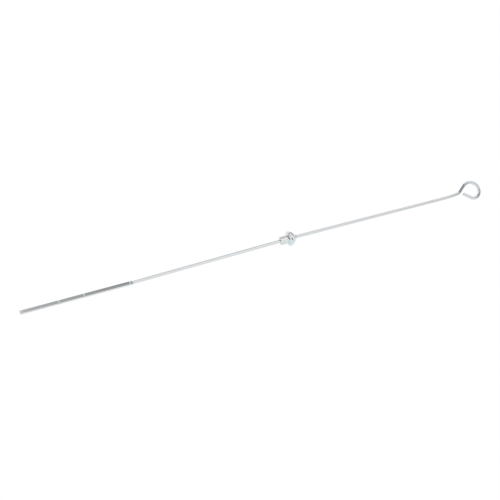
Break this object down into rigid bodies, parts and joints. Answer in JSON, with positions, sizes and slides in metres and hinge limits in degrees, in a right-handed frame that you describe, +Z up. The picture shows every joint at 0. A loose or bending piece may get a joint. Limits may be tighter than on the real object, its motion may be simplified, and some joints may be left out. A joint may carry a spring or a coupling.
{
  "type": "engine oil dipstick",
  "caption": "Wire engine oil dipstick: a pressed blade with level marks, a domed stop collar that seats on the tube, and a formed pull eye.",
  "frame": {"origin": "centre of the stop collar's seat face, where the flange meets the tube's mouth and from which the marks are measured", "axes": "lying as it rests on a level surface: +X along the dipstick towards the eye, +Z up; the spigot's axis leans 1.76 degrees from X, in the XZ plane"},
  "size_m": [0.4413, 0.0144, 0.0145],
  "materials": {
    "zinc_wire": "drawn steel wire, bright blue-white zinc plate",
    "zinc_collar": "turned steel, bright blue-white zinc plate"
  },
  "bodies": {
    "root": {"gauge_wire": "zinc_wire", "stop_collar": "zinc_collar"}
  },
  "joints": []
}
